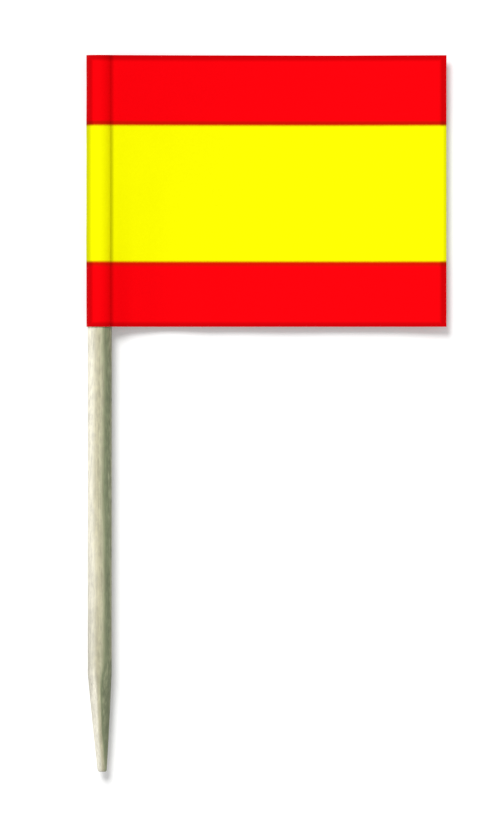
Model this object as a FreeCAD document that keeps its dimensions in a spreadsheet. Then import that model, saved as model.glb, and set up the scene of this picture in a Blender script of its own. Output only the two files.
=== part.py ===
"""A flag toothpick: one turned wooden stick with one paper strip folded round its head.

The strip wraps the head of the stick, is pinched to it by two small bends, and its two
leaves are glued back to back as the flag. The part lies as it comes to rest: the stick
along Y with its point at -Y, the flag towards +X, on the line under the wrap and on the
belly of the gently curled leaf. The origin is at the middle of the part's footprint.
"""

import FreeCAD, Part
import math
import os

import Sketcher

Vector = FreeCAD.Vector

SIZES = [
    ("stick_length", 68.0, "point to head"),
    ("stick_diameter", 2.3, "the round shank"),
    ("taper_length", 9.3, "from the end of the shank to the point"),
    ("taper_crown", 0.02, "how far the taper swells past a straight cone, half-way along"),
    ("tip_diameter", 0.85, "the blunt point"),
    ("tip_offset", 0.24, "how far the point lies off the stick's axis"),
    ("tip_round", 0.18, "rounding of the point's edge"),
    ("head_chamfer", 0.08, "broken edge of the sawn head"),
    ("head_recess", 0.2, "from the paper's top edge down to the head"),
    ("flag_height", 25.85, "along the stick"),
    ("leaf_reach", 33.0, "from the stick's axis to the free edge"),
    ("leaf_rise", 0.75, "how far above the stick's axis the leaves join the wrap"),
    ("belly_reach", 24.0, "from the stick's axis to where the leaf lies lowest"),
    ("paper_thickness", 0.09, "one leaf"),
    ("glue_film", 0.02, "between stick and paper, and between the two leaves"),
    ("nip_radius", 0.2, "outside of the bends where the leaves meet the wrap"),
]

# The taper runs through three rounds: at the shank's end, half-way and at the point.
SHANK_LENGTH = "(sizes.stick_length - sizes.taper_length)"
SHANK_RADIUS = "(sizes.stick_diameter / 2)"
TIP_RADIUS = "(sizes.tip_diameter / 2)"
TAPER_ROUNDS = [
    ("taper_start", SHANK_LENGTH, SHANK_RADIUS, "0"),
    (
        "taper_middle",
        f"({SHANK_LENGTH} + sizes.taper_length / 2)",
        f"({SHANK_RADIUS} + {TIP_RADIUS}) / 2 + sizes.taper_crown",
        "sizes.tip_offset / 2",
    ),
    ("taper_end", "sizes.stick_length", TIP_RADIUS, "sizes.tip_offset"),
]

# The wrap's inner face clears the stick by the glue.
WRAP_INSIDE = "(sizes.stick_diameter / 2 + sizes.glue_film)"
WRAP_OUTSIDE = f"({WRAP_INSIDE} + sizes.paper_thickness)"
BEND_INSIDE = "(sizes.nip_radius + sizes.paper_thickness)"

# The leaves curl about a far centre. Their middle starts above the stick's axis and drops
# to the belly, where the lower leaf is as low as the wrap.
BELLY_DEPTH = "((sizes.stick_diameter + sizes.glue_film) / 2)"
LEAF_DROP = f"({BELLY_DEPTH} + sizes.leaf_rise)"
LEAF_CURL = f"(sizes.belly_reach ^ 2 / (2 * {LEAF_DROP}) + {LEAF_DROP} / 2)"

OVERALL_LENGTH = "(sizes.stick_length + sizes.head_recess)"


def make_sizes(doc):
    """Writes the driving dimensions, in millimetres, into the document's sheet."""
    sheet = doc.addObject("Spreadsheet::Sheet", "sizes")
    for row, (name, value, note) in enumerate(SIZES, start=1):
        sheet.set(f"A{row}", name)
        sheet.set(f"B{row}", str(value))
        sheet.set(f"C{row}", note)
        sheet.setAlias(f"B{row}", name)
    doc.recompute()
    return sheet


def rule(sketch, *constraint):
    """Adds a constraint that has no size."""
    sketch.addConstraint(Sketcher.Constraint(*constraint))


def bind(sketch, name, expression, *constraint):
    """Adds a constraint with a first value, names it and ties it to the sheet."""
    index = sketch.addConstraint(Sketcher.Constraint(*constraint))
    sketch.renameConstraint(index, name)
    sketch.setExpression(f"Constraints.{name}", expression)


def arc(centre, radius, start, end):
    """A round edge, counter-clockwise from one angle to another."""
    circle = Part.Circle(centre, Vector(0, 0, 1), radius)
    return Part.ArcOfCircle(circle, start, end)


def heading(start, end):
    """The angle of the way from one point to another."""
    return math.atan2(end.y - start.y, end.x - start.x)


def touching_centre(first, first_reach, second, second_reach):
    """The point right of the way between two centres that lies at a given reach from each."""
    span = (second - first).Length
    along = (first_reach**2 - second_reach**2 + span**2) / (2 * span)
    across = math.sqrt(first_reach**2 - along**2)
    way = (second - first) / span
    return first + way * along + Vector(way.y, -way.x, 0) * across


def plane_of(body, role):
    """One of a body's own origin planes, found by its role."""
    for feature in body.Origin.OriginFeatures:
        if feature.Role == role:
            return feature
    raise ValueError(f"{body.Label} has no {role}")


def round_sketch(body, name, depth, radius, offset):
    """A circle across the stick, at a depth below its head and an offset from its axis."""
    sketch = body.newObject("Sketcher::SketchObject", name)
    sketch.AttachmentSupport = [(plane_of(body, "XY_Plane"), "")]
    sketch.MapMode = "FlatFace"
    sketch.setExpression("AttachmentOffset.Base.z", f"-({depth})")
    sketch.setExpression("AttachmentOffset.Base.x", offset)
    circle = sketch.addGeometry(Part.Circle())
    rule(sketch, "Coincident", circle, 3, -1, 1)
    bind(sketch, "radius", radius, "Radius", circle, 1)
    return sketch


def end_edge(feature, choose):
    """The name of the round edge at the head or the point: choose is max or min of the heights."""
    edges = feature.Shape.Edges
    heights = [edge.BoundBox.ZMax if choose is min else edge.BoundBox.ZMin for edge in edges]
    return f"Edge{heights.index(choose(heights)) + 1}"


def make_toothpick(doc):
    """The stick, one piece of wood: sawn head, round shank, long taper, blunt point."""
    body = doc.addObject("PartDesign::Body", "toothpick")
    body.Label = "toothpick"
    body.Placement.Rotation = FreeCAD.Rotation(Vector(1, 0, 0), -90)
    shank = body.newObject("PartDesign::Pad", "shank")
    shank.Profile = round_sketch(body, "shank_round", "0", SHANK_RADIUS, "0")
    shank.Reversed = True
    shank.setExpression("Length", SHANK_LENGTH)
    rounds = [round_sketch(body, *values) for values in TAPER_ROUNDS]
    taper = body.newObject("PartDesign::AdditiveLoft", "taper")
    taper.Profile = rounds[0]
    taper.Sections = rounds[1:]
    doc.recompute()
    point = body.newObject("PartDesign::Fillet", "point")
    point.Base = (taper, [end_edge(taper, min)])
    point.setExpression("Radius", "sizes.tip_round")
    doc.recompute()
    head = body.newObject("PartDesign::Chamfer", "head")
    head.Base = (point, [end_edge(point, max)])
    head.setExpression("Size", "sizes.head_chamfer")
    return body


def draw_fold(sketch, sheet):
    """Draws the inner face of the folded strip as seen along the stick, whose axis is the origin.

    Five tangent arcs: the upper leaf, its bend, the wrap, the other bend and the lower leaf.
    """
    film = sheet.glue_film
    wrap_radius = sheet.stick_diameter / 2 + film
    bend_radius = sheet.nip_radius + sheet.paper_thickness
    bend_reach = wrap_radius + bend_radius
    depth = (sheet.stick_diameter + film) / 2
    drop = depth + sheet.leaf_rise
    curl = sheet.belly_reach**2 / (2 * drop) + drop / 2
    upper_curl = curl - film / 2
    lower_curl = curl + film / 2
    free_reach = sheet.leaf_reach - sheet.belly_reach
    stick = Vector(0, 0, 0)
    centre = Vector(sheet.belly_reach, curl - depth, 0)
    upper_nip = touching_centre(stick, bend_reach, centre, upper_curl - bend_radius)
    lower_nip = touching_centre(stick, bend_reach, centre, lower_curl + bend_radius)
    upper_start = heading(centre, upper_nip)
    lower_start = heading(centre, lower_nip)
    upper_end = math.asin(free_reach / upper_curl) - math.pi / 2
    lower_end = math.asin(free_reach / lower_curl) - math.pi / 2
    upper_leaf, upper_bend, wrap, lower_bend, lower_leaf = range(5)
    sketch.addGeometry(arc(centre, upper_curl, upper_start, upper_end))
    sketch.addGeometry(arc(upper_nip, bend_radius, heading(upper_nip, stick), upper_start))
    sketch.addGeometry(arc(stick, wrap_radius, heading(stick, upper_nip), heading(stick, lower_nip)))
    sketch.addGeometry(arc(lower_nip, bend_radius, lower_start + math.pi, heading(lower_nip, stick)))
    sketch.addGeometry(arc(centre, lower_curl, lower_start, lower_end))
    rule(sketch, "Tangent", upper_leaf, 1, upper_bend, 2)
    rule(sketch, "Tangent", upper_bend, 1, wrap, 1)
    rule(sketch, "Tangent", wrap, 2, lower_bend, 2)
    rule(sketch, "Tangent", lower_bend, 1, lower_leaf, 1)
    rule(sketch, "Coincident", wrap, 3, -1, 1)
    rule(sketch, "Coincident", upper_leaf, 3, lower_leaf, 3)
    rule(sketch, "Equal", upper_bend, lower_bend)
    bind(sketch, "wrap_inside", WRAP_INSIDE, "Radius", wrap, wrap_radius)
    bind(sketch, "bend_inside", BEND_INSIDE, "Radius", upper_bend, bend_radius)
    bind(sketch, "belly", "sizes.belly_reach", "DistanceX", -1, 1, upper_leaf, 3, centre.x)
    bind(sketch, "rise", f"{LEAF_CURL} - {BELLY_DEPTH}", "DistanceY", -1, 1, upper_leaf, 3, centre.y)
    bind(sketch, "upper_curl", f"{LEAF_CURL} - sizes.glue_film / 2", "Radius", upper_leaf, upper_curl)
    bind(sketch, "lower_curl", f"{LEAF_CURL} + sizes.glue_film / 2", "Radius", lower_leaf, lower_curl)
    for leaf, name in ((upper_leaf, "upper_reach"), (lower_leaf, "lower_reach")):
        bind(sketch, name, "sizes.leaf_reach", "DistanceX", -1, 1, leaf, 2, sheet.leaf_reach)


def make_flag(doc, sheet):
    """The paper strip: its folded line, given the paper's thickness and the flag's height."""
    fold = doc.addObject("Sketcher::SketchObject", "fold_line")
    fold.Placement.Rotation = FreeCAD.Rotation(Vector(1, 0, 0), 90)
    draw_fold(fold, sheet)
    section = doc.addObject("Part::Offset2D", "paper_section")
    section.Source = fold
    section.Mode = "Skin"
    section.Join = "Arc"
    section.Fill = True
    section.setExpression("Value", "sizes.paper_thickness")
    flag = doc.addObject("Part::Extrusion", "flag_paper")
    flag.Label = "flag_paper"
    flag.Base = section
    flag.DirMode = "Custom"
    flag.Dir = Vector(0, -1, 0)
    flag.Solid = True
    flag.setExpression("LengthFwd", "sizes.flag_height")
    return flag


def place_parts(toothpick, flag):
    """Lays both pieces on the table, with the part's footprint centred on the origin."""
    for piece in (toothpick, flag):
        piece.setExpression("Placement.Base.x", f"({WRAP_OUTSIDE} - sizes.leaf_reach) / 2")
        piece.setExpression("Placement.Base.z", WRAP_OUTSIDE)
    toothpick.setExpression("Placement.Base.y", f"{OVERALL_LENGTH} / 2 - sizes.head_recess")
    flag.setExpression("Placement.Base.y", f"{OVERALL_LENGTH} / 2")


def check(doc, pieces):
    """Stops if any object of the document failed, or a piece isn't one sound solid."""
    for item in doc.Objects:
        if "Invalid" in item.State or "Error" in item.State:
            raise RuntimeError(f"{item.Label} failed: {item.State}")
    for piece in pieces:
        shape = piece.Shape
        if shape.isNull() or not shape.isValid() or len(shape.Solids) != 1:
            raise RuntimeError(f"{piece.Label} isn't one sound solid")


def main():
    """Builds the document and writes one STEP file for each piece."""
    doc = FreeCAD.newDocument("flag_toothpick")
    sheet = make_sizes(doc)
    toothpick = make_toothpick(doc)
    flag = make_flag(doc, sheet)
    place_parts(toothpick, flag)
    doc.recompute()
    pieces = (toothpick, flag)
    check(doc, pieces)
    os.makedirs("parts", exist_ok=True)
    for piece in pieces:
        piece.Shape.exportStep(f"parts/{piece.Label}.step")
        print(f"{piece.Label}: {piece.Shape.Volume:.2f} cubic mm")


main()
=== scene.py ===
"""Dresses the flag toothpick: a turned wooden pick with a striped paper flag round its head.

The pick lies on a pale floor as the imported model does, with its point at -Y and the flag
towards +X. Every piece is made in metres in the model's frame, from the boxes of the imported
solids and from sizes named here in millimetres.
"""

import logging
import math
from dataclasses import dataclass
from enum import Enum
from typing import Mapping, Optional, Sequence, Union

import bpy
import numpy as np
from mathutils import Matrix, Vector


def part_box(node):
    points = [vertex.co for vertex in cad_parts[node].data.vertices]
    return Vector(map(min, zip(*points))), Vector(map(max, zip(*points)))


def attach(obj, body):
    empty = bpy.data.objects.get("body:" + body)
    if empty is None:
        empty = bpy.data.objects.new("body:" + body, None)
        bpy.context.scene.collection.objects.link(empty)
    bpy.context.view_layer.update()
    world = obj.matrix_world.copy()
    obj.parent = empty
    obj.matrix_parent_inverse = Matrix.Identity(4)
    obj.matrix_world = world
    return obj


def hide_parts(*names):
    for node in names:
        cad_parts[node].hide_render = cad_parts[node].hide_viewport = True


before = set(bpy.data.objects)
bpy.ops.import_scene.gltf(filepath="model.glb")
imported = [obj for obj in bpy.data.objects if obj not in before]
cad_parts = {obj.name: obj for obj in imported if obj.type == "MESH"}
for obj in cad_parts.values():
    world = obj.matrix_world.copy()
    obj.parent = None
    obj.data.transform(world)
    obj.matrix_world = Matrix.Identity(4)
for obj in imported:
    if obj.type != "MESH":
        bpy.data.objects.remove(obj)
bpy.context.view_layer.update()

# A millimetre in metres, and the least length that counts, in millimetres.
MM = 0.001
TOLERANCE = 1e-6

# Noise seldom goes past these two values.
NOISE_SPAN = (0.3, 0.7)

Colour = tuple[float, float, float]
Span = tuple[float, float]
Socket = bpy.types.NodeSocket
Value = Union[float, Sequence[float], Socket]
Inputs = Mapping[Union[str, int], Value]

log = logging.getLogger("flag_toothpick")


class Node(Enum):
    """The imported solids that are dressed."""

    PICK = "toothpick"
    PAPER = "flag_paper"


class Slot(Enum):
    """The record's material slots."""

    WOOD = "birch_wood"
    PAPER = "printed_paper"


class Side(Enum):
    """Which way the printed face lies from the middle of an arc of the fold."""

    OUTWARD = 1.0
    INWARD = -1.0


def smooth_step(values: np.ndarray, start: float, end: float) -> np.ndarray:
    """Rises from 0 to 1 between two limits, level at both.

    With u the way from start to end, held within 0 and 1, the result is 3 u^2 - 2 u^3.

    Args:
        values: The numbers to map.
        start: Where the result is still 0.
        end: Where the result has reached 1.

    Returns:
        The mapped numbers.
    """
    way = np.clip((values - start) / (end - start), 0.0, 1.0)
    return way * way * (3.0 - 2.0 * way)


def put_in_scene(name: str, data: bpy.types.ID) -> bpy.types.Object:
    """Puts a mesh, a lamp or a camera into a new object, linked into the scene.

    Args:
        name: The object's name.
        data: What it holds.

    Returns:
        The object.
    """
    made = bpy.data.objects.new(name, data)
    bpy.context.scene.collection.objects.link(made)
    return made


def make_object(
    name: str,
    points: np.ndarray,
    quads: np.ndarray,
    triangles: np.ndarray,
    crease_degrees: float,
) -> bpy.types.Object:
    """Puts points and faces, worked out as arrays, into a new object at the origin.

    Args:
        name: The object's and its mesh's name.
        points: One row of x, y, z in millimetres for each vertex.
        quads: One row of four vertex numbers for each quad, counter-clockwise from outside.
        triangles: One row of three vertex numbers for each triangle.
        crease_degrees: Edges that turn more than this are shown sharp.

    Returns:
        The object, linked into the scene.
    """
    mesh = bpy.data.meshes.new(name)
    corners = np.concatenate([quads.ravel(), triangles.ravel()]).astype(np.int32)
    counts = np.concatenate([np.full(len(quads), 4), np.full(len(triangles), 3)])
    starts = np.concatenate([[0], np.cumsum(counts)[:-1]]).astype(np.int32)
    mesh.vertices.add(len(points))
    mesh.vertices.foreach_set("co", (points * MM).astype(np.float32).ravel())
    mesh.loops.add(len(corners))
    mesh.loops.foreach_set("vertex_index", corners)
    mesh.polygons.add(len(counts))
    mesh.polygons.foreach_set("loop_start", starts)
    mesh.polygons.foreach_set("use_smooth", np.ones(len(counts), dtype=bool))
    mesh.update(calc_edges=True)
    mesh.validate()
    mesh.set_sharp_from_angle(angle=math.radians(crease_degrees))
    return put_in_scene(name, mesh)


def ring_quads(rows: int, columns: int) -> np.ndarray:
    """Quads of a tube whose vertices are counted row by row, each row a closed ring.

    The quad at row i and column j joins (i, j), (i, j + 1), (i + 1, j + 1) and (i + 1, j),
    with columns counted round the ring.

    Args:
        rows: How many rings.
        columns: How many vertices in each ring.

    Returns:
        One row of four vertex numbers for each quad.
    """
    row, column = np.meshgrid(np.arange(rows - 1), np.arange(columns), indexing="ij")
    after = (column + 1) % columns
    corners = [
        row * columns + column,
        row * columns + after,
        (row + 1) * columns + after,
        (row + 1) * columns + column,
    ]
    return np.stack(corners, axis=-1).reshape(-1, 4)


@dataclass(frozen=True)
class Pattern:
    """Seamless noise in a piece's own space, about 0.5 on average.

    Attributes:
        per_mm: Pattern units per millimetre along each axis.
        detail: How many finer layers are added.
        roughness: How strong the finer layers are.
        twist: How far the noise is pulled about by itself.
    """

    per_mm: tuple[float, float, float]
    detail: float
    roughness: float = 0.5
    twist: float = 0.0


@dataclass(frozen=True)
class Change:
    """A number, such as a tone, that changes smoothly while another one passes two places.

    Attributes:
        start: The other number's value where the change starts.
        end: Its value where the change is whole.
        first: The number before the change.
        last: The number after it.
    """

    start: float
    end: float
    first: Value
    last: Value


class Shader:
    """The node tree of a material or of the world, built with short calls."""

    def __init__(self, owner: Union[bpy.types.Material, bpy.types.World]) -> None:
        """Empties the owner's node tree.

        Args:
            owner: The material or the world.
        """
        owner.use_nodes = True
        self.owner = owner
        self.tree = owner.node_tree
        self.tree.nodes.clear()

    def add(
        self, kind: str, inputs: Optional[Inputs] = None, **settings: object
    ) -> bpy.types.Node:
        """Adds a node of a kind, sets its own settings and feeds its inputs.

        Args:
            kind: The node's type, without its leading ShaderNode.
            inputs: A value, or another node's output to link, by the input's name or number.
            **settings: Values for the node's properties.

        Returns:
            The node.
        """
        node = self.tree.nodes.new("ShaderNode" + kind)
        for name, setting in settings.items():
            setattr(node, name, setting)
        for name, value in (inputs or {}).items():
            if isinstance(value, Socket):
                self.tree.links.new(value, node.inputs[name])
            else:
                node.inputs[name].default_value = value
        return node

    def maths(self, operation: str, *values: Value) -> Socket:
        """Works out one number from one to three, by a Math node's operation."""
        return self.add("Math", dict(enumerate(values)), operation=operation).outputs[0]

    def chain(self, operation: str, *values: Value) -> Socket:
        """Works out one number from several, taken in one by one from the left.

        Args:
            operation: A Math operation of two numbers, such as MULTIPLY.
            *values: Two numbers or more.

        Returns:
            The result's output.
        """
        result = values[0]
        for value in values[1:]:
            result = self.maths(operation, result, value)
        return result

    def step(self, value: Value, change: Change, origin: float = 0.0) -> Socket:
        """Maps a number as a change says, level at both of its ends.

        Args:
            value: The number.
            change: The change that it drives.
            origin: Where the change's start and end are counted from.

        Returns:
            The result's output.
        """
        inputs = {
            "Value": value,
            "From Min": origin + change.start,
            "From Max": origin + change.end,
            "To Min": change.first,
            "To Max": change.last,
        }
        return self.add("MapRange", inputs, interpolation_type="SMOOTHSTEP").outputs["Result"]

    def ramp(self, value: Value, stops: Sequence[tuple[float, Colour]]) -> Socket:
        """Looks a colour up between stops.

        Args:
            value: A number from 0 to 1.
            stops: Pairs of place and linear colour, in order.

        Returns:
            The colour's output.
        """
        node = self.add("ValToRGB", {0: value})
        elements = node.color_ramp.elements
        elements[0].position, elements[1].position = stops[0][0], stops[-1][0]
        elements[0].color, elements[1].color = (*stops[0][1], 1.0), (*stops[-1][1], 1.0)
        for place, colour in stops[1:-1]:
            elements.new(place).color = (*colour, 1.0)
        return node.outputs[0]

    def shade(self, colour: Value, factor: Value) -> Socket:
        """Multiplies a colour by a number, channel by channel."""
        return self.add("VectorMath", {0: colour, "Scale": factor}, operation="SCALE").outputs[0]

    def point(self, per_mm: Sequence[float]) -> Socket:
        """The point on the object, counted in a pattern's units.

        Args:
            per_mm: Units per millimetre along each axis.

        Returns:
            The point's output.
        """
        source = self.add("TexCoord").outputs["Object"]
        scale = [value / MM for value in per_mm]
        return self.add("Mapping", {"Vector": source, "Scale": scale}).outputs[0]

    def axes(self) -> tuple[Socket, Socket]:
        """The point's X and Y on the object, in millimetres."""
        split = self.add("SeparateXYZ", {0: self.point((1.0, 1.0, 1.0))})
        return split.outputs["X"], split.outputs["Y"]

    def noise(self, pattern: Pattern) -> Socket:
        """Noise of a pattern.

        Args:
            pattern: The pattern.

        Returns:
            The noise's output.
        """
        inputs = {
            "Vector": self.point(pattern.per_mm),
            "Scale": 1.0,
            "Detail": pattern.detail,
            "Roughness": pattern.roughness,
            "Distortion": pattern.twist,
        }
        return self.add("TexNoise", inputs).outputs[0]

    def seen(self) -> Socket:
        """Tells sight from light on its way.

        Returns:
            An output, 1 for the camera, a reflection and a clear body, and otherwise 0.
        """
        rays = self.add("LightPath").outputs
        kinds = ("Is Camera Ray", "Is Glossy Ray", "Is Transmission Ray")
        return self.chain("MAXIMUM", *(rays[kind] for kind in kinds))

    def close(self, kind: str, surface: bpy.types.Node) -> None:
        """Ends the tree in an output node of a kind, which shows a surface's node."""
        self.add(kind, {"Surface": surface.outputs[0]})

    def finish(
        self, colour: Value, roughness: Value, height: Value, relief: float, gloss: float
    ) -> bpy.types.Material:
        """Ends a material in one surface shader with a bump.

        Args:
            colour: The base colour.
            roughness: The roughness.
            height: The relief's height, 0 to 1.
            relief: How many millimetres a height of 1 stands for.
            gloss: The specular level, 0.5 being plain varnish.

        Returns:
            The finished material.
        """
        bump = self.add("Bump", {"Strength": 1.0, "Distance": relief * MM, "Height": height})
        inputs = {
            "Base Color": colour,
            "Roughness": roughness,
            "Specular IOR Level": gloss,
            "Normal": bump.outputs[0],
        }
        self.close("OutputMaterial", self.add("BsdfPrincipled", inputs))
        return self.owner


@dataclass(frozen=True)
class WoodFinish:
    """Pale bare wood whose layers run along the pick, painted light on the -X side and a darker
    olive layer of painted shade towards +X.

    Lengths are in millimetres. Changes along Y are counted upwards from the end of the
    shank, unless they name another place.

    Attributes:
        axis_x: Where the pick's axis lies along X.
        shank_end: Where the taper starts along Y.
        point_y: Where the pick ends along Y.
        head_y: Where its sawn head lies along Y.
        tip_offset: How far the point lies off the axis, towards +X.
        white: Linear colour of the palest layer, at -X, where it is painted light.
        cream: The next layer's.
        pale: The next layer's.
        tan: The next one's.
        brown: The next one's, and the outermost one's at +X.
        olive: The next one's, painted shade, and of the one on the dark layer's far side.
        dark: The darkest one's, painted shade between the two olive ones.
        spread: How far from the axis the layers of painted light and shade are laid out, each
            way.
        sway: Noise of long waves.
        streaks: Noise of long fine streaks.
        flecks: Noise of short flecks.
        mottles: Noise of soft mottles.
        vessels: Noise of thin vessel lines.
        pores: Noise of the same vessels, sawn across.
        pulls: How far sway, streaks and flecks pull the layers about, in all.
        squeeze: How closely the layers lie, along Y.
        shift: How far they are shifted towards -X, along Y.
        furthest: Distance from the axis of the outermost layer that shows, along Y.
        paler_tip: How far the layers are shifted at the point, counted from it along Y.
        streak_tone: Brightness by the streaks' noise.
        fleck_tone: Brightness by the flecks' noise.
        mottle_tone: Brightness by the mottles' noise.
        vessel_tone: Brightness by the vessels' noise.
        shaded_edge: Which part of the section takes the painted edge shade, along X from the
            axis.
        edge_shade: How much the painted edge shade darkens, along Y.
        dull: Brightness of the whole along Y.
        at_head: Where the sawn head shows, along Y from the head.
        at_point: Where the sawn point shows, along Y from the point.
        pore_depth: How much the two ends darken, by the pores' noise.
        roughness: The roughness by the streaks' noise.
        vessel_relief: How deep the vessels are against the streaks.
        relief: Height of the whole relief.
        gloss: The specular level of dry wood.
    """

    axis_x: float
    shank_end: float
    point_y: float
    head_y: float
    tip_offset: float
    white: Colour = (0.95, 0.91, 0.76)
    cream: Colour = (0.88, 0.845, 0.685)
    pale: Colour = (0.66, 0.626, 0.46)
    tan: Colour = (0.567, 0.533, 0.37)
    brown: Colour = (0.53, 0.52, 0.35)
    olive: Colour = (0.385, 0.40, 0.252)
    dark: Colour = (0.24, 0.272, 0.16)
    spread: float = 1.5
    sway: Pattern = Pattern((0.9, 0.09, 0.9), 3.0, 0.55)
    streaks: Pattern = Pattern((9.0, 0.22, 9.0), 4.0, 0.6, 0.3)
    flecks: Pattern = Pattern((3.2, 1.15, 3.2), 2.0, 0.6)
    mottles: Pattern = Pattern((1.6, 0.55, 1.6), 3.0, 0.55)
    vessels: Pattern = Pattern((22.0, 0.5, 22.0), 2.0, 0.5)
    pores: Pattern = Pattern((11.0, 1.0, 11.0), 2.0, 0.7)
    pulls: tuple[float, float, float] = (0.6, 0.3, 0.4)
    squeeze: Change = Change(1.5, -2.5, 1.0, 2.6)
    shift: Change = Change(1.5, -2.0, 0.0, 0.16)
    furthest: Change = Change(2.8, 1.0, spread, 0.86)
    paler_tip: Change = Change(4.0, 0.0, 0.0, -0.45)
    streak_tone: Change = Change(*NOISE_SPAN, 0.9, 1.08)
    fleck_tone: Change = Change(*NOISE_SPAN, 0.88, 1.1)
    mottle_tone: Change = Change(*NOISE_SPAN, 0.92, 1.07)
    vessel_tone: Change = Change(0.33, 0.42, 0.78, 1.0)
    shaded_edge: Change = Change(-0.45, -1.05, 0.0, 1.0)
    edge_shade: Change = Change(21.0, -1.0, 0.0, 0.28)
    dull: Change = Change(12.0, 0.0, 1.0, 0.92)
    at_head: Change = Change(-0.07, -0.03, 0.0, 1.0)
    at_point: Change = Change(0.05, 0.01, 0.0, 1.0)
    pore_depth: Change = Change(0.36, 0.52, 0.42, 0.12)
    roughness: Change = Change(*NOISE_SPAN, 0.72, 0.52)
    vessel_relief: float = 0.6
    relief: float = 0.02
    gloss: float = 0.2

    def layers(self) -> list[tuple[float, Colour]]:
        """The layers' colours across the pick, painted light at -X and painted shade towards +X.

        Returns:
            Pairs of a distance from the pick's axis, towards +X, and the colour there.
        """
        return [
            (-1.1, self.white),
            (-0.68, self.cream),
            (-0.38, self.pale),
            (-0.13, self.tan),
            (0.17, self.brown),
            (0.37, self.olive),
            (0.57, self.dark),
            (0.85, self.dark),
            (1.08, self.olive),
            (1.3, self.brown),
        ]

    def shade_layering(self, shader: Shader, x: Socket, y: Socket, noises: Sequence[Socket]) -> Socket:
        """Which layer of painted light and shade shows, as a distance from the axis.

        It is the point's own distance from the pick's middle line, squeezed and shifted
        along the taper, whose +X side is held to one dark layer of painted shade, plus what
        the noises pull.

        Args:
            shader: The wood's node tree.
            x: The place along X.
            y: The place along Y.
            noises: Sway, streaks and flecks.

        Returns:
            The distance's output.
        """
        middle = Change(self.shank_end, self.point_y, 0.0, -self.tip_offset)
        own = shader.chain("ADD", x, -self.axis_x, shader.step(y, middle))
        squeeze = shader.step(y, self.squeeze, self.shank_end)
        shift = shader.step(y, self.shift, self.shank_end)
        shown = shader.maths("MULTIPLY_ADD", own, squeeze, shift)
        shown = shader.maths("MINIMUM", shown, shader.step(y, self.furthest, self.shank_end))
        pulls = [
            shader.maths("MULTIPLY_ADD", noise, pull, -pull / 2.0)
            for noise, pull in zip(noises, self.pulls)
        ]
        return shader.chain("ADD", shown, *pulls, shader.step(y, self.paler_tip, self.point_y))

    def end_grain(self, shader: Shader, y: Socket) -> Socket:
        """How bright the two ends are, where the saw has cut across the pores.

        Args:
            shader: The wood's node tree.
            y: The place along Y.

        Returns:
            A factor's output, 1 away from the ends.
        """
        at_head = shader.step(y, self.at_head, self.head_y)
        at_point = shader.step(y, self.at_point, self.point_y)
        on_end = shader.maths("MAXIMUM", at_head, at_point)
        depth = shader.step(shader.noise(self.pores), self.pore_depth)
        return shader.maths("SUBTRACT", 1.0, shader.maths("MULTIPLY", on_end, depth))

    def material(self) -> bpy.types.Material:
        """The wood.

        The layers, painted light at -X and painted shade towards +X, give its colour.
        Streaks, flecks, mottles and vessel lines vary its brightness, and the same noise
        gives its roughness and relief. Painted shade darkens the edge of the -X side towards
        the taper, the whole is a little duller towards the taper, and the ends show pores.

        Returns:
            The material.
        """
        shader = Shader(bpy.data.materials.new("bare_wood"))
        x, y = shader.axes()
        sway, streaks, flecks, mottles, vessels = (
            shader.noise(pattern)
            for pattern in (self.sway, self.streaks, self.flecks, self.mottles, self.vessels)
        )
        layer = self.shade_layering(shader, x, y, (sway, streaks, flecks))
        # Painted light on the -X side and painted shade towards +X, by the layers' ramp.
        colour = shader.ramp(
            shader.maths("MULTIPLY_ADD", layer, 0.5 / self.spread, 0.5),
            [(0.5 + 0.5 * place / self.spread, colour) for place, colour in self.layers()],
        )
        veined = shader.step(vessels, self.vessel_tone)
        # Painted shade along the far edge of the -X side, growing towards the taper.
        side = shader.step(x, self.shaded_edge, self.axis_x)
        edge_shade = shader.maths("MULTIPLY", side, shader.step(y, self.edge_shade, self.shank_end))
        tone = shader.chain(
            "MULTIPLY",
            shader.step(streaks, self.streak_tone),
            shader.step(mottles, self.mottle_tone),
            veined,
            shader.step(flecks, self.fleck_tone),
            shader.maths("SUBTRACT", 1.0, edge_shade),
            shader.step(y, self.dull, self.shank_end),
            self.end_grain(shader, y),
        )
        height = shader.maths("MULTIPLY_ADD", veined, self.vessel_relief, streaks)
        roughness = shader.step(streaks, self.roughness)
        return shader.finish(
            shader.shade(colour, tone), roughness, height, self.relief, self.gloss
        )


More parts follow.
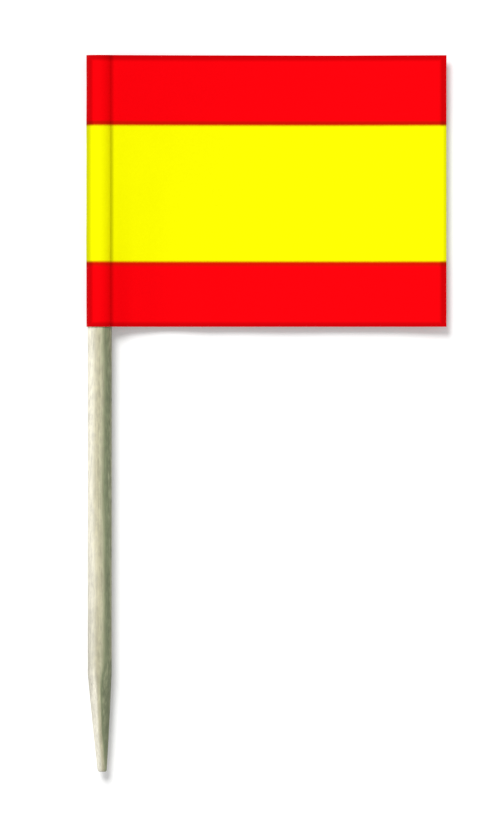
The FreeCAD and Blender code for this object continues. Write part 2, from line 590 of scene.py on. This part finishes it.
@dataclass(frozen=True)
class PrintFinish:
    """The printed face of the paper: a yellow band between two red ones.

    Lengths are in millimetres.

    Attributes:
        top: Where the flag's top edge lies along Y.
        height: The flag's height along the pick.
        free_edge: Where the leaves end along X.
        folded_edge: Where the wrap's far side lies along X.
        upper_red: Height of the red band next to the top edge.
        yellow_band: Height of the yellow band.
        overlap: Width of the line where red ink is printed over yellow.
        soft: How far the ink runs at a band's edge.
        blend: The same for the darkening along edges and creases, from red to yellow.
        wander: How far the bands' edges wander.
        red_rim: Brightness of red by the distance from an edge.
        yellow_rim: The same on yellow.
        wrap_shade_rim: How much wider the darker line is along the wrap's far side, where it is
            painted shade of the wrap's rounded flank.
        bottom_rim: How much wider it is along the bottom edge.
        free_rim: How much wider it is along the free edge, on red and on yellow.
        red_crease_shade: Brightness of red in the painted crease shade, along the middle of a
            crease.
        yellow_crease_shade: The same on yellow.
        red: Linear colour of the red ink.
        yellow: Linear colour of the yellow ink.
        upper_double: Linear colour of red ink over yellow, at the upper boundary.
        lower_double: The same at the lower boundary, where less yellow shows through.
        bleed: Noise of the ink's wandering edges.
        fibres: Noise of the paper's fibres.
        cloud: Noise of large soft clouds.
        fibre_tone: Brightness by the fibres' noise.
        cloud_tone: Brightness by the clouds' noise.
        roughness: The roughness by the fibres' noise.
        relief: Height of the relief.
        gloss: The specular level of matt printed paper.
    """

    top: float
    height: float
    free_edge: float
    folded_edge: float
    upper_red: float = 6.7
    yellow_band: float = 12.93
    overlap: float = 0.42
    soft: float = 0.09
    blend: float = 0.1
    wander: float = 0.05
    red_rim: Change = Change(0.28, 0.7, 0.65, 1.0)
    yellow_rim: Change = Change(0.1, 0.52, 0.72, 1.0)
    wrap_shade_rim: float = 0.08
    bottom_rim: float = -0.08
    free_rim: Span = (0.09, -0.08)
    red_crease_shade: float = 0.71
    yellow_crease_shade: float = 0.63
    red: Colour = (0.98, 0.0002, 0.0032)
    yellow: Colour = (0.98, 0.98, 0.0)
    upper_double: Colour = (0.62, 0.006, 0.0005)
    lower_double: Colour = (0.72, 0.006, 0.0005)
    bleed: Pattern = Pattern((7.0, 7.0, 7.0), 2.0)
    fibres: Pattern = Pattern((5.0, 5.0, 5.0), 4.0, 0.62, 0.8)
    cloud: Pattern = Pattern((0.35, 0.35, 0.35), 2.0)
    fibre_tone: Change = Change(0.25, 0.75, 0.985, 1.015)
    cloud_tone: Change = Change(*NOISE_SPAN, 0.99, 1.0)
    roughness: Change = Change(*NOISE_SPAN, 0.62, 0.5)
    relief: float = 0.006
    gloss: float = 0.015

    def bands(self) -> list[tuple[float, Colour]]:
        """The print's colours from the top edge down.

        Returns:
            Pairs of a part of the flag's height and the colour there.
        """
        first = self.upper_red
        second = self.upper_red + self.yellow_band
        places = (
            (0.0, self.red),
            (first - self.overlap - self.soft, self.red),
            (first - self.overlap + self.soft, self.upper_double),
            (first - self.soft, self.upper_double),
            (first + self.soft, self.yellow),
            (second - self.soft, self.yellow),
            (second + self.soft, self.lower_double),
            (second + self.overlap - self.soft, self.lower_double),
            (second + self.overlap + self.soft, self.red),
            (self.height, self.red),
        )
        return [(distance / self.height, colour) for distance, colour in places]

    def rims(self, shader: Shader, x: Socket, below: Socket) -> list[Socket]:
        """The darker line along the flag's four edges, painted shade along the wrap's far side.

        Each edge's distance is lessened by how much wider the line is there, and the
        nearest edge counts.

        Args:
            shader: The print's node tree.
            x: The place along X.
            below: The distance below the top edge.

        Returns:
            The outputs of the factors for red and for yellow.
        """
        nearest = shader.chain(
            "MINIMUM",
            below,
            shader.maths("SUBTRACT", self.height - self.bottom_rim, below),
            # Along the wrap's far side the darker line is painted shade of its rounded flank.
            shader.maths("SUBTRACT", x, self.folded_edge + self.wrap_shade_rim),
        )
        made = []
        for rim, wider in zip((self.red_rim, self.yellow_rim), self.free_rim):
            from_free_edge = shader.maths("SUBTRACT", self.free_edge - wider, x)
            made.append(shader.step(shader.maths("MINIMUM", nearest, from_free_edge), rim))
        return made

    def material(self) -> bpy.types.Material:
        """The print.

        The colour is looked up by the distance below the top edge, a hair's breadth uneven.
        It darkens along the edges, takes painted shade along the creases and varies with the
        paper's fibres.

        Returns:
            The material.
        """
        shader = Shader(bpy.data.materials.new("printed_face"))
        x, y = shader.axes()
        fibres = shader.noise(self.fibres)
        below = shader.maths("SUBTRACT", self.top, y)
        level = shader.maths("SUBTRACT", below, self.wander / 2.0)
        uneven = shader.maths("MULTIPLY_ADD", shader.noise(self.bleed), self.wander, level)
        ink = shader.ramp(shader.maths("DIVIDE", uneven, self.height), self.bands())
        half_band = self.yellow_band / 2.0
        off_middle = shader.maths("SUBTRACT", below, self.upper_red + half_band)
        off_middle = shader.maths("ABSOLUTE", off_middle)
        on_red, on_yellow = self.rims(shader, x, below)
        rim, crease_shade = (
            shader.step(off_middle, Change(-self.blend, self.blend, inner, outer), half_band)
            for inner, outer in (
                (on_yellow, on_red),
                (self.yellow_crease_shade, self.red_crease_shade),
            )
        )
        # Painted shade along the creases, by the mesh's crease attribute.
        crease = shader.add("Attribute", attribute_name=FoldedFlag.CREASE)
        tone = shader.chain(
            "MULTIPLY",
            rim,
            shader.step(crease.outputs["Fac"], Change(0.0, 1.0, 1.0, crease_shade)),
            shader.step(fibres, self.fibre_tone),
            shader.step(shader.noise(self.cloud), self.cloud_tone),
        )
        roughness = shader.step(fibres, self.roughness)
        return shader.finish(shader.shade(ink, tone), roughness, fibres, self.relief, self.gloss)


@dataclass(frozen=True)
class BarePaperFinish:
    """Unprinted white paper, as on the strip's inner face and its cut edges.

    Attributes:
        white: Linear colour of the paper.
        fibres: Noise of a felt of fine fibres.
        fibre_span: The noise between the fibres and on them.
        gap_tone: Brightness between the fibres.
        roughness: The roughness by the fibres' noise.
        relief: Height of the relief, in millimetres.
        gloss: The specular level of uncoated paper.
    """

    white: Colour = (0.86, 0.85, 0.81)
    fibres: Pattern = Pattern((14.0, 14.0, 14.0), 4.0, 0.65, 1.0)
    fibre_span: Span = (0.3, 0.65)
    gap_tone: float = 0.88
    roughness: Change = Change(*NOISE_SPAN, 0.92, 0.78)
    relief: float = 0.008
    gloss: float = 0.15

    def material(self) -> bpy.types.Material:
        """The paper, with its fibres in colour, roughness and relief.

        Returns:
            The material.
        """
        shader = Shader(bpy.data.materials.new("bare_paper"))
        fibres = shader.noise(self.fibres)
        gap = tuple(self.gap_tone * value for value in self.white)
        colour = shader.ramp(fibres, list(zip(self.fibre_span, (gap, self.white))))
        roughness = shader.step(fibres, self.roughness)
        return shader.finish(colour, roughness, fibres, self.relief, self.gloss)


@dataclass(frozen=True)
class FloorFinish:
    """A matt white floor that shows as plain white, and still takes the object's shadow.

    Attributes:
        paint: How much light the floor scatters.
        glow: What is added to what the camera, a reflection or a clear body sees of it.
    """

    paint: float = 0.88
    glow: float = 0.2

    def material(self) -> bpy.types.Material:
        """The floor's matt paint plus its glow.

        Returns:
            The material.
        """
        shader = Shader(bpy.data.materials.new("studio_floor"))
        matt = shader.add("BsdfDiffuse", {"Color": (self.paint, self.paint, self.paint, 1.0)})
        glow = shader.maths("MULTIPLY", shader.seen(), self.glow)
        shine = shader.add("Emission", {"Strength": glow})
        both = shader.add("AddShader", {0: matt.outputs[0], 1: shine.outputs[0]})
        shader.close("OutputMaterial", both)
        return shader.owner


@dataclass
class TurnedPick:
    """The wooden pick: sawn head, round shank, and a taper whittled to a blunt, off-centre point.

    All sizes are in millimetres.

    Attributes:
        taper_length: From the end of the shank to the point.
        taper_crown: How far the taper swells past a straight cone, half-way along.
        tip_radius: Half the blunt point's width.
        tip_offset: How far the point lies off the shank's axis, towards +X.
        tip_round: Rounding of the point's edge.
        head_chamfer: Broken edge of the sawn head.
        facet: How flat the taper's four whittled sides are, 0 being round.
        facet_span: Where they are whole and where they start, from the shank's end.
        around: Vertices in each ring.
        along: Rings along shank and taper.
        shank_share: Which part of them lies on the shank.
        round_rings: Rings on the point's rounding.
        head_rings: Rings on the sawn head, as parts of its radius.
        tip_rings: Rings on the point's end, as parts of its radius.
        grooves: How many open vessels and hollows score the surface.
        hollow_share: Which part of them are hollows, wide and shallow.
        groove_half: Half of their length, least and most.
        hollow_width: A hollow's width, least and most.
        vessel_width: A vessel's width, least and most.
        hollow_depth: A hollow's depth, least and most.
        vessel_depth: A vessel's depth, least and most.
        drift: How far they turn round the pick, in radians per millimetre.
        saw_mark: Depth of the saw's marks on the head.
        sawn: Which part of the head's radius they cover.
        seed: Where the random draws start.
    """

    taper_length: float = 9.3
    taper_crown: float = 0.02
    tip_radius: float = 0.425
    tip_offset: float = 0.24
    tip_round: float = 0.18
    head_chamfer: float = 0.08
    facet: float = 0.42
    facet_span: Span = (-2.6, 0.5)
    around: int = 192
    along: int = 330
    shank_share: float = 0.72
    round_rings: int = 8
    head_rings: tuple[float, ...] = (0.2, 0.45, 0.7, 0.88)
    tip_rings: tuple[float, ...] = (0.45, 0.2)
    grooves: int = 90
    hollow_share: float = 0.22
    groove_half: Span = (2.0, 11.0)
    hollow_width: Span = (0.16, 0.34)
    vessel_width: Span = (0.04, 0.08)
    hollow_depth: Span = (0.006, 0.014)
    vessel_depth: Span = (0.008, 0.022)
    drift: float = 0.008
    saw_mark: float = 0.02
    sawn: float = 0.9
    seed: int = 41

    def __post_init__(self) -> None:
        """Reads the axis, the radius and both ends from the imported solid."""
        low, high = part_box(Node.PICK.value)
        self.radius = (high.z - low.z) / MM / 2.0
        self.axis_x = low.x / MM + self.radius
        self.axis_z = (high.z + low.z) / MM / 2.0
        self.head_y = high.y / MM
        self.point_y = low.y / MM
        self.shank_end = self.point_y + self.taper_length

    def profile(self) -> tuple[np.ndarray, np.ndarray]:
        """The pick's outline from the middle of its head to the middle of its point.

        Each ring has a radius and a place along Y: a few on the sawn head, one on each side
        of the chamfer, many along shank and taper, a quarter round on the point, and two on
        its end. Along the taper the radius is the parabola through the shank's radius, the
        mean of shank and tip plus the crown at half-way, and the tip's radius.

        Returns:
            The rings' radii and their places along Y.
        """
        head = np.append(
            np.array(self.head_rings) * self.radius, self.radius - self.head_chamfer
        )
        shank_rings = int(self.along * self.shank_share)
        shank_y = np.linspace(self.head_y - self.head_chamfer, self.shank_end, shank_rings)
        way = np.linspace(0.0, 1.0, self.along - shank_rings + 1)[1:]
        straight = self.radius + (self.tip_radius - self.radius) * way
        taper = straight + 4.0 * self.taper_crown * way * (1.0 - way)
        taper_y = self.shank_end - way * self.taper_length
        kept = taper_y > self.point_y + self.tip_round
        turn = np.linspace(0.0, math.pi / 2.0, self.round_rings)
        tip = self.tip_radius - self.tip_round * (1.0 - np.cos(turn))
        tip_y = self.point_y + self.tip_round * (1.0 - np.sin(turn))
        inner = np.array(self.tip_rings) * self.tip_radius
        outline = (
            (head, np.full(len(head), self.head_y)),
            (np.full(shank_rings, self.radius), shank_y),
            (taper[kept], taper_y[kept]),
            (tip, tip_y),
            (inner, np.full(len(inner), self.point_y)),
        )
        radii, places = zip(*outline)
        return np.concatenate(radii), np.concatenate(places)

    def whittle(self, angles: np.ndarray, places: np.ndarray) -> np.ndarray:
        """How much of the round is left on the taper, whose section nears a square on its corner.

        A square's side lies at cos(45) / cos(a - 45) of its corner's distance, where a is
        the angle from the last corner. That share is blended with 1 by the facet's depth,
        which grows from nothing at the end of the shank.

        Args:
            angles: Angles round the pick, 0 towards +Z.
            places: The rings' places along Y.

        Returns:
            A factor for each ring and angle.
        """
        from_corner = np.mod(angles, math.pi / 2.0)
        square = math.cos(math.pi / 4.0) / np.cos(from_corner - math.pi / 4.0)
        depth = self.facet * (1.0 - smooth_step(places - self.shank_end, *self.facet_span))
        return 1.0 - depth[:, None] * (1.0 - square[None, :])

    def score(self, angles: np.ndarray, places: np.ndarray) -> np.ndarray:
        """Depth of the open vessels and long hollows that run along the wood.

        Each vessel is a groove: its depth, times a bell curve of the arc from its middle,
        times 1 - s^4 along its length, where s is the way from its middle to its end. It
        drifts a little round the pick along its length. Wider and shallower ones of the
        same kind are the hollows.

        Args:
            angles: Angles round the pick.
            places: The rings' places along Y.

        Returns:
            A depth in millimetres for each ring and angle.
        """
        draw = np.random.default_rng(self.seed)
        count = self.grooves
        broad = draw.random(count) < self.hollow_share
        middle = draw.uniform(0.0, 2.0 * math.pi, count)
        centre = draw.uniform(self.point_y, self.head_y, count)
        half = draw.uniform(*self.groove_half, count)
        width, depth = (
            np.where(broad, draw.uniform(*hollow, count), draw.uniform(*vessel, count))
            for hollow, vessel in (
                (self.hollow_width, self.vessel_width),
                (self.hollow_depth, self.vessel_depth),
            )
        )
        drift = draw.normal(0.0, self.drift, count)
        away = places[None, :] - centre[:, None]
        ends = np.clip(1.0 - (away / half[:, None]) ** 4, 0.0, None)
        lines = middle[:, None] + drift[:, None] * away
        turn = angles[None, None, :] - lines[:, :, None]
        arc = self.radius * np.abs(np.mod(turn + math.pi, 2.0 * math.pi) - math.pi)
        bell = np.exp(-((arc / width[:, None, None]) ** 2))
        return np.sum(depth[:, None, None] * ends[:, :, None] * bell, axis=0)

    def surface(self) -> tuple[np.ndarray, np.ndarray, np.ndarray]:
        """The pick's skin as a function of the angle round it and the way along its outline.

        A point lies at centre + r (sin a, 0, cos a), where r is the outline's radius times
        the whittled share, less the vessels' depth times the square of the outline's radius
        over the shank's. The centre moves from the axis to the point's offset along the
        taper. The head's inner rings are sunk by random saw marks. One point closes each end.

        Returns:
            The points, the quads and the triangles.
        """
        radii, places = self.profile()
        angles = np.arange(self.around) * 2.0 * math.pi / self.around
        way = np.clip((self.shank_end - places) / self.taper_length, 0.0, 1.0)
        centre_x = self.axis_x + self.tip_offset * way
        fading = radii / self.radius
        reach = radii[:, None] * self.whittle(angles, places)
        reach = reach - self.score(angles, places) * fading[:, None] ** 2
        draw = np.random.default_rng(self.seed + 1)
        on_head = (places > self.head_y - TOLERANCE) & (radii < self.radius * self.sawn)
        saw_marks = on_head[:, None] * draw.uniform(0.0, self.saw_mark, reach.shape)
        rings = np.stack(
            [
                centre_x[:, None] + reach * np.sin(angles),
                places[:, None] - saw_marks,
                self.axis_z + reach * np.cos(angles),
            ],
            axis=-1,
        ).reshape(-1, 3)
        ends = np.array(
            [
                [self.axis_x, self.head_y - self.saw_mark / 2.0, self.axis_z],
                [self.axis_x + self.tip_offset, self.point_y, self.axis_z],
            ]
        )
        columns = np.arange(self.around)
        after = (columns + 1) % self.around
        last = (len(radii) - 1) * self.around
        head_centre = np.full(self.around, len(rings))
        triangles = np.concatenate(
            [
                np.stack([head_centre, columns, after], axis=-1),
                np.stack([head_centre + 1, last + after, last + columns], axis=-1),
            ]
        )
        quads = ring_quads(len(radii), self.around)[:, ::-1]
        return np.concatenate([rings, ends]), quads, triangles

    def build(self) -> bpy.types.Object:
        """Makes the pick, dresses it and puts it in the solid's place.

        Returns:
            The finished piece.
        """
        points, quads, triangles = self.surface()
        pick = make_object("turned_pick", points, quads, triangles, crease_degrees=38.0)
        wood = WoodFinish(self.axis_x, self.shank_end, self.point_y, self.head_y, self.tip_offset)
        pick.data.materials.append(wood.material())
        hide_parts(Node.PICK.value)
        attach(pick, "root")
        return pick


@dataclass
class FoldedFlag:
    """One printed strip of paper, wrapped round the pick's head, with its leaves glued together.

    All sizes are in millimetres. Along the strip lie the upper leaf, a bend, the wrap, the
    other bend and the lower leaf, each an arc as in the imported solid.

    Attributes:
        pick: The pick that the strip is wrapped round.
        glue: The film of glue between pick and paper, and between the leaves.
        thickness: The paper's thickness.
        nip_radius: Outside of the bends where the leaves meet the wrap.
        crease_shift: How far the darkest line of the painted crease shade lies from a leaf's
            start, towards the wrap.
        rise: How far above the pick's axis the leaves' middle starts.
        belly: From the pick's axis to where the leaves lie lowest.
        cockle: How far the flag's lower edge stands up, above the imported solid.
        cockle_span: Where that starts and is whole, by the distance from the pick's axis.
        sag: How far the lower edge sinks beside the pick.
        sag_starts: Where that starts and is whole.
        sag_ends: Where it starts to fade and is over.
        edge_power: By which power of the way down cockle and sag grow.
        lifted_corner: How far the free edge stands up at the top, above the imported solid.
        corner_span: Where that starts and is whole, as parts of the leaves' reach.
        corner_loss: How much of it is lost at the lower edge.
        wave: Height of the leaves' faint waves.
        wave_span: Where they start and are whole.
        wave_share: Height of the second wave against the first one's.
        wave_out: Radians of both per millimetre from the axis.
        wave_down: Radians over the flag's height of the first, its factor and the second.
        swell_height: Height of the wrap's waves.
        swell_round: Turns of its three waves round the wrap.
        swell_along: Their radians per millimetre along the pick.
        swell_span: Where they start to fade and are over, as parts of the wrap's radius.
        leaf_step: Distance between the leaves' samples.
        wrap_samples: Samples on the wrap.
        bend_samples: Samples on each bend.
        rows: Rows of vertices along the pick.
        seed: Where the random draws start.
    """

    CREASE = "crease"

    pick: TurnedPick
    glue: float = 0.02
    thickness: float = 0.09
    nip_radius: float = 0.2
    crease_shift: float = 0.04
    rise: float = 0.75
    belly: float = 24.0
    cockle: float = 0.77
    cockle_span: Span = (6.0, 20.5)
    sag: float = 0.5
    sag_starts: Span = (0.6, 3.2)
    sag_ends: Span = (5.0, 11.0)
    edge_power: float = 1.5
    lifted_corner: float = 1.0
    corner_span: Span = (0.66, 1.1)
    corner_loss: float = 0.92
    wave: float = 0.02
    wave_span: Span = (3.0, 9.0)
    wave_share: float = 0.6
    wave_out: Span = (0.42, 0.83)
    wave_down: tuple[float, float, float] = (2.1, 5.2, -3.4)
    swell_height: float = 0.027
    swell_round: tuple[float, float, float] = (3.0, 2.0, 0.0)
    swell_along: tuple[float, float, float] = (0.31, -0.57, 1.13)
    swell_span: Span = (0.3, 0.85)
    leaf_step: float = 0.3
    wrap_samples: int = 110
    bend_samples: int = 14
    rows: int = 84
    seed: int = 17

    def __post_init__(self) -> None:
        """Reads the flag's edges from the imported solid."""
        low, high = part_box(Node.PAPER.value)
        self.top = high.y / MM
        self.bottom = low.y / MM
        self.free_edge = high.x / MM
        self.height = self.top - self.bottom
        self.wrap_radius = self.pick.radius + self.glue

    def nip(self, centre: np.ndarray, reach: float, leaf_reach: float) -> np.ndarray:
        """Middle of a bend: the point right of the way from pick to leaf centre at both reaches.

        Args:
            centre: The middle of the leaves' curl, from the pick's axis.
            reach: The bend's distance from the pick's axis.
            leaf_reach: The bend's distance from the curl's middle.

        Returns:
            The point, from the pick's axis.
        """
        span = float(np.hypot(*centre))
        along = (reach**2 - leaf_reach**2 + span**2) / (2.0 * span)
        across = math.sqrt(reach**2 - along**2)
        way = centre / span
        return way * along + np.array([way[1], -way[0]]) * across

    @staticmethod
    def arc(
        middle: np.ndarray, radius: float, start: float, end: float, count: int, side: Side
    ) -> tuple[np.ndarray, np.ndarray]:
        """Points on an arc and the way from each to the printed face.

        Args:
            middle: The arc's middle.
            radius: Its radius.
            start: Its first angle.
            end: Its last angle.
            count: How many points, the last one left out.
            side: Whether the printed face lies outward or inward.

        Returns:
            The points and the unit ways, one row each.
        """
        angles = np.linspace(start, end, count, endpoint=False)
        spoke = np.stack([np.cos(angles), np.sin(angles)], axis=-1)
        return middle + radius * spoke, side.value * spoke

    def fold(self) -> tuple[np.ndarray, np.ndarray, np.ndarray]:
        """The strip's inner face in section, seen along the pick, from leaf end to leaf end.

        The leaves curl about a far middle, belly^2 / (2 drop) + drop / 2 away, where drop is
        the rise plus half of pick and glue. The bends touch leaf and wrap. The section's
        length is kept as the strip's flat length.

        Returns:
            The points from the pick's axis, the ways to the printed face, and how much each
            point lies in a crease, a bell curve about a line near the end of each leaf.
        """
        depth = self.pick.radius + self.glue / 2.0
        drop = depth + self.rise
        curl = self.belly**2 / (2.0 * drop) + drop / 2.0
        centre = np.array([self.belly, curl - depth])
        bend = self.nip_radius + self.thickness
        upper_curl = curl - self.glue / 2.0
        lower_curl = curl + self.glue / 2.0
        upper = self.nip(centre, self.wrap_radius + bend, upper_curl - bend)
        lower = self.nip(centre, self.wrap_radius + bend, lower_curl + bend)
        free = self.free_edge - self.pick.axis_x - self.belly
        turn = 2.0 * math.pi

        def heading(way: np.ndarray) -> float:
            """The angle of a way."""
            return math.atan2(way[1], way[0])

        upper_start = heading(upper - centre)
        lower_start = heading(lower - centre)
        upper_end = math.asin(free / upper_curl) - math.pi / 2.0
        lower_end = math.asin(free / lower_curl) - math.pi / 2.0
        steps = int(round((upper_end - upper_start) * curl / self.leaf_step))
        axis = np.zeros(2)
        wraps, bends = self.wrap_samples, self.bend_samples
        arcs = (
            (centre, upper_curl, upper_end, upper_start, steps, Side.INWARD),
            (upper, bend, upper_start, heading(-upper), bends, Side.INWARD),
            (axis, self.wrap_radius, heading(upper), heading(lower) + turn, wraps, Side.OUTWARD),
            (lower, bend, heading(-lower) % turn, lower_start + math.pi, bends, Side.INWARD),
            (centre, lower_curl, lower_start, lower_end, steps, Side.OUTWARD),
        )
        pieces = [self.arc(*values) for values in arcs]
        points = np.concatenate([piece[0] for piece in pieces])
        ways = np.concatenate([piece[1] for piece in pieces])
        last = np.array([math.cos(lower_end), math.sin(lower_end)])
        points = np.vstack([points, centre + lower_curl * last])
        ways = np.vstack([ways, last])
        run = np.concatenate([[0.0], np.cumsum(np.hypot(*np.diff(points, axis=0).T))])
        self.flat_length = float(run[-1])
        # How much each point lies in a crease, which drives the print's painted crease shade.
        crease = np.zeros(len(points))
        for place in (steps, len(points) - 1 - steps):
            toward_wrap = self.crease_shift * np.sign(run[-1] / 2.0 - run[place])
            away = run - run[place] - toward_wrap
            crease = np.maximum(crease, np.exp(-((away / self.nip_radius) ** 2)))
        return points, ways, crease

    def lift(self, reach: np.ndarray, places: np.ndarray) -> np.ndarray:
        """How far the leaves stand up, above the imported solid.

        The lower edge sags a little beside the pick and rises by the cockle further out,
        both less towards the top edge, by a power of the way down. The free edge rises over
        the leaves' last third, most at the top. Two faint waves, one of them a product of
        two sines, run over the leaves, are never negative and grow with the way down.

        Args:
            reach: Distances from the pick's axis.
            places: Places along Y.

        Returns:
            A height in millimetres for each place and reach.
        """
        down = ((self.top - places) / self.height)[:, None]
        out = reach[None, :]
        part = out / (self.free_edge - self.pick.axis_x)
        dip = smooth_step(out, *self.sag_starts) * (1.0 - smooth_step(out, *self.sag_ends))
        edge = self.cockle * smooth_step(out, *self.cockle_span) - self.sag * dip
        corner = self.lifted_corner * smooth_step(part, *self.corner_span)
        phases = np.random.default_rng(self.seed).uniform(0.0, 2.0 * math.pi, 3)
        first = np.sin(out * self.wave_out[0] + down * self.wave_down[0] + phases[0])
        first = first * np.sin(down * self.wave_down[1] + phases[1])
        second = np.sin(out * self.wave_out[1] + down * self.wave_down[2] + phases[2])
        waves = (1.0 + first) + self.wave_share * (1.0 + second)
        return (
            edge * down**self.edge_power
            + corner * (1.0 - self.corner_loss * down)
            + self.wave * waves * smooth_step(out, *self.wave_span) * down
        )

    def swell(self, points: np.ndarray, places: np.ndarray) -> np.ndarray:
        """How far the wrap stands off the glue where the paper bridges the wood's unevenness.

        It is half the swell's height plus a sixth of it times the sum of three sines, which
        run round the wrap and along it. So it is never negative, and the paper never enters
        the wood. It fades out at the bends.

        Args:
            points: The fold's points from the pick's axis.
            places: Places along Y.

        Returns:
            A height in millimetres for each place and point.
        """
        phases = np.random.default_rng(self.seed + 1).uniform(0.0, 2.0 * math.pi, 3)
        angles = np.arctan2(points[:, 1], -points[:, 0])
        turns = (
            np.multiply.outer(self.swell_along, places)[:, :, None]
            + np.multiply.outer(self.swell_round, angles)[:, None, :]
        )
        waves = np.sum(np.sin(turns + phases[:, None, None]), axis=0)
        near = 1.0 - smooth_step(points[:, 0] / self.wrap_radius, *self.swell_span)
        return self.swell_height * (0.5 + waves / 6.0) * near[None, :]

    def surface(self) -> tuple[np.ndarray, np.ndarray, np.ndarray, np.ndarray]:
        """The paper as a closed skin, a function of the way along the strip and along the pick.

        In each row the ring runs along the printed face and back along the inner one, which
        lies one thickness inside it. Quads between the two close the top and bottom edges.

        Returns:
            The points, the quads, a flag for each quad that is printed, and each point's crease.
        """
        fold, ways, crease = self.fold()
        places = np.linspace(self.top, self.bottom, self.rows)
        count = len(fold)
        raised = self.lift(np.maximum(fold[:, 0], 0.0), places)
        raised = raised * (np.hypot(*fold.T) > self.wrap_radius + TOLERANCE)[None, :]
        swell = self.swell(fold, places)
        faces = []
        for thick in (self.thickness, 0.0):
            section = fold[None] + (swell[..., None] + thick) * ways[None]
            face = np.stack(
                [
                    self.pick.axis_x + section[..., 0],
                    np.broadcast_to(places[:, None], raised.shape),
                    self.pick.axis_z + section[..., 1] + raised,
                ],
                axis=-1,
            )
            faces.append(face)
        ring = np.concatenate([faces[0], faces[1][:, ::-1]], axis=1)
        width = 2 * count
        sides = ring_quads(self.rows, width)
        column = sides[:, 0] % width
        printed = column < count - 1
        step = np.arange(count - 1)
        top_rim = np.stack([step, width - 1 - step, width - 2 - step, step + 1], axis=-1)
        bottom_rim = top_rim[:, ::-1] + (self.rows - 1) * width
        quads = np.concatenate([sides, top_rim, bottom_rim])
        shown = np.concatenate([printed, np.zeros(2 * len(step), dtype=bool)])
        creases = np.tile(np.concatenate([crease, crease[::-1]]), self.rows)
        return ring.reshape(-1, 3), quads, shown, creases

    def build(self) -> bpy.types.Object:
        """Returns:
            The finished piece.
        """
        points, quads, printed, creases = self.surface()
        triangles = np.zeros((0, 3), dtype=int)
        flag = make_object("folded_flag", points, quads, triangles, crease_degrees=50.0)
        folded_edge = self.pick.axis_x - self.wrap_radius - self.thickness
        inks = PrintFinish(self.top, self.height, self.free_edge, folded_edge)
        flag.data.materials.append(inks.material())
        flag.data.materials.append(BarePaperFinish().material())
        flag.data.polygons.foreach_set("material_index", (~printed).astype(np.int32))
        attribute = flag.data.attributes.new(self.CREASE, "FLOAT", "POINT")
        attribute.data.foreach_set("value", creases.astype(np.float32))
        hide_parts(Node.PAPER.value)
        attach(flag, "root")
        return flag


@dataclass
class Studio:
    """A white floor, a soft key lamp at the upper left, even light all round, and a camera above.

    Attributes:
        floor_reach: How far the floor reaches each way from its middle, in metres.
        key_way: The way from the part to the key lamp.
        key_angle: How wide the key lamp shows, in degrees.
        key_light: What the key lamp adds to an upward face.
        fill_light: What the even light adds to an upward face.
        lens: The camera's focal length, in millimetres.
        sensor: The sensor's long side, in millimetres.
        clip: The nearest and the furthest that the camera sees, in metres.
        view_height: Height of the view at the part, in millimetres.
        view_middle: Where the view's middle lies, in millimetres.
        flag_level: The flag's mean height above the floor, in millimetres.
    """

    floor_reach: float = 3.0
    key_way: tuple[float, float, float] = (-0.32, 0.72, 1.0)
    key_angle: float = 25.0
    key_light: float = 0.61
    fill_light: float = 0.43
    lens: float = 500.0
    sensor: float = 36.0
    clip: Span = (0.01, 10.0)
    view_height: float = 77.81
    view_middle: Span = (-1.57, 0.471)
    flag_level: float = 0.6

    def floor(self) -> bpy.types.Object:
        """A flat square floor under the part.

        Returns:
            The floor's object.
        """
        far = self.floor_reach
        mesh = bpy.data.meshes.new("floor")
        corners = [(-far, -far, 0.0), (far, -far, 0.0), (far, far, 0.0), (-far, far, 0.0)]
        mesh.from_pydata(corners, [], [(0, 1, 2, 3)])
        mesh.materials.append(FloorFinish().material())
        made = put_in_scene("floor", mesh)
        return made

    def key(self) -> bpy.types.Object:
        """The key lamp, a wide sun.

        A sun of strength s lights a matt white face by s cos(a) / pi, with a the angle
        between the face's normal and the lamp, so its strength is key_light pi / cos(a).

        Returns:
            The lamp's object.
        """
        way = np.array(self.key_way) / np.linalg.norm(self.key_way)
        lamp = bpy.data.lights.new("key", "SUN")
        lamp.angle = math.radians(self.key_angle)
        lamp.energy = self.key_light * math.pi / way[2]
        made = put_in_scene("key", lamp)
        made.rotation_mode = "QUATERNION"
        made.rotation_quaternion = Vector(way).to_track_quat("Z", "Y")
        return made

    def world(self) -> None:
        """Even grey light, which the camera, reflections and clear bodies see as white."""
        shader = Shader(bpy.data.worlds.new("studio"))
        level = shader.step(shader.seen(), Change(0.0, 1.0, self.fill_light, 1.0))
        back = shader.add("Background", {"Color": (1.0, 1.0, 1.0, 1.0), "Strength": level})
        shader.close("OutputWorld", back)
        bpy.context.scene.world = shader.owner

    def camera(self) -> bpy.types.Object:
        """The camera, straight above and looking down, with +Y upwards in the picture.

        It stands as far above the flag as its lens needs to show the view's height.

        Returns:
            The camera's object.
        """
        lens = bpy.data.cameras.new("camera")
        lens.sensor_width = self.sensor
        lens.lens = self.lens
        lens.clip_start, lens.clip_end = self.clip
        distance = self.view_height * self.lens / self.sensor
        made = put_in_scene("camera", lens)
        across, up = self.view_middle
        made.location = (across * MM, up * MM, (distance + self.flag_level) * MM)
        bpy.context.scene.camera = made
        return made

    def build(self) -> None:
        """Sets up the floor, the light and the camera."""
        self.floor()
        self.key()
        self.world()
        self.camera()
        bpy.context.scene.view_settings.view_transform = "Standard"


def main() -> None:
    """Builds the pick, the flag and the studio, and logs the flat strip's size."""
    logging.basicConfig(level=logging.INFO, format="%(name)s: %(message)s")
    pick = TurnedPick()
    flag = FoldedFlag(pick)
    for piece in (pick.build(), flag.build()):
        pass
    log.info("flat strip: %.2f by %.2f mm", flag.height, flag.flat_length)
    Studio().build()


if __name__ == "__main__":
    main()
